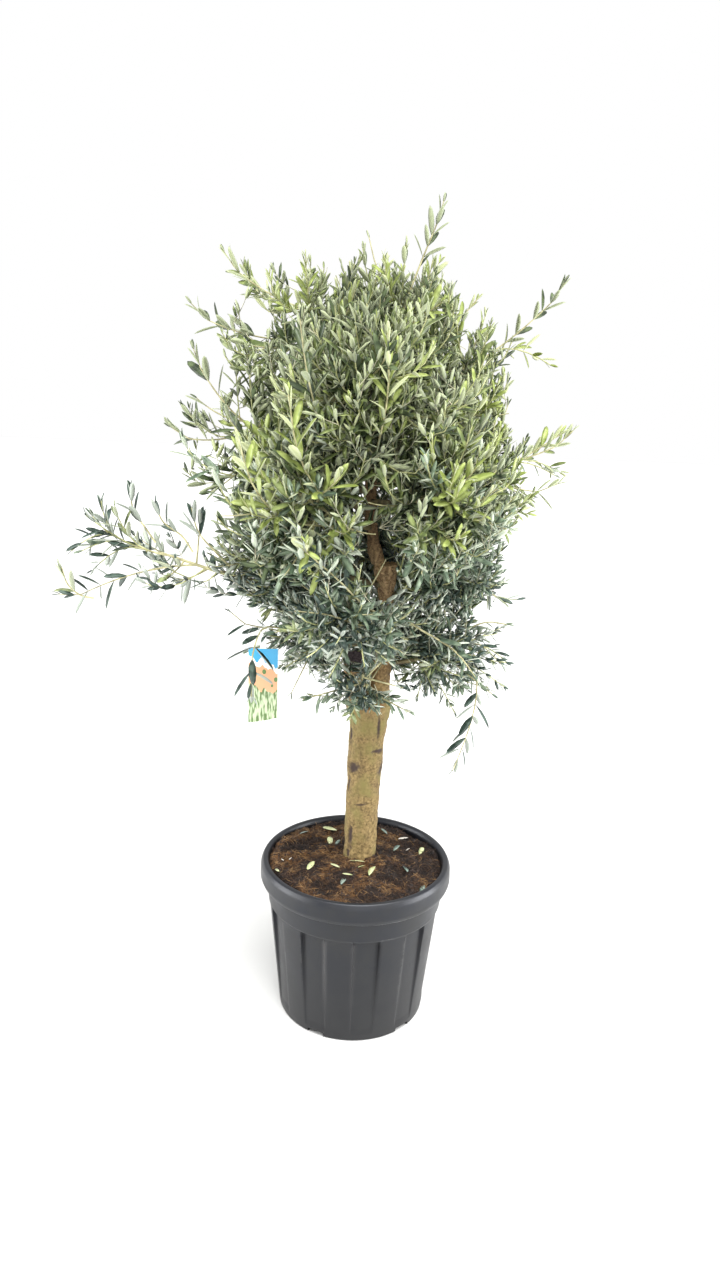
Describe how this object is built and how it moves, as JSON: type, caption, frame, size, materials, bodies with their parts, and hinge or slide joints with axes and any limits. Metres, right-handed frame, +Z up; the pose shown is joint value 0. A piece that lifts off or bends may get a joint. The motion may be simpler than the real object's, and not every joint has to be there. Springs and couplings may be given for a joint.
{
  "type": "potted olive tree",
  "caption": "Young olive tree with a cut-back trunk, a kinked leader and a loose crown of long leafy shoots, standing in a round fluted nursery pot.",
  "frame": {"origin": "middle of the pot's flat underside, on the surface that the pot stands on", "axes": "+Z up along the trunk, -Y towards the front (the side that carries the hang label), +X to the right seen from the front"},
  "size_m": [1.0055, 0.6164, 1.6374],
  "materials": {
    "pot_plastic": "dark blue-grey moulded polypropylene, satin, faintly scuffed",
    "potting_mix": "damp brown coir and peat, fibrous, matt",
    "bark": "smooth young olive bark, tan to olive yellow, finely granular",
    "cut_wood": "weathered dark saw cut",
    "twig_bark": "grey-green twig bark",
    "foliage_high": "leathery olive leaves, yellow-green above and silvery beneath",
    "foliage_low": "leathery olive leaves, cooler grey-green above and silvery beneath",
    "label_film": "printed film label, glossy"
  },
  "bodies": {
    "root": {"pot": "pot_plastic", "soil": "potting_mix", "trunk": "bark", "leader_lower": "bark", "leader_upper": "bark", "pruned_stub": "cut_wood", "bough_top_left": "twig_bark", "bough_top_centre": "twig_bark", "bough_top_right": "twig_bark", "bough_top_back": "twig_bark", "bough_top_front": "twig_bark", "bough_upper_left": "twig_bark", "bough_front_left": "twig_bark", "bough_front_right": "twig_bark", "bough_upper_right": "twig_bark", "bough_back_left": "twig_bark", "bough_back_right": "twig_bark", "bough_middle_left": "twig_bark", "bough_far_left": "twig_bark", "bough_middle_right": "twig_bark", "bough_middle_back": "twig_bark", "bough_middle_front": "twig_bark", "bough_low_left": "twig_bark", "bough_low_right": "twig_bark", "bough_low_front": "twig_bark", "bough_low_back": "twig_bark", "plant_label": "label_film", "foliage_top_left": "foliage_high", "foliage_top_centre": "foliage_high", "foliage_top_right": "foliage_high", "foliage_top_back": "foliage_high", "foliage_top_front": "foliage_high", "foliage_upper_left": "foliage_high", "foliage_front_left": "foliage_high", "foliage_front_right": "foliage_high", "foliage_upper_right": "foliage_high", "foliage_back_left": "foliage_high", "foliage_back_right": "foliage_high", "foliage_middle_left": "foliage_low", "foliage_far_left": "foliage_low", "foliage_middle_right": "foliage_low", "foliage_middle_back": "foliage_low", "foliage_middle_front": "foliage_low", "foliage_low_left": "foliage_low", "foliage_low_right": "foliage_low", "foliage_low_front": "foliage_low", "foliage_low_back": "foliage_low"}
  },
  "joints": []
}
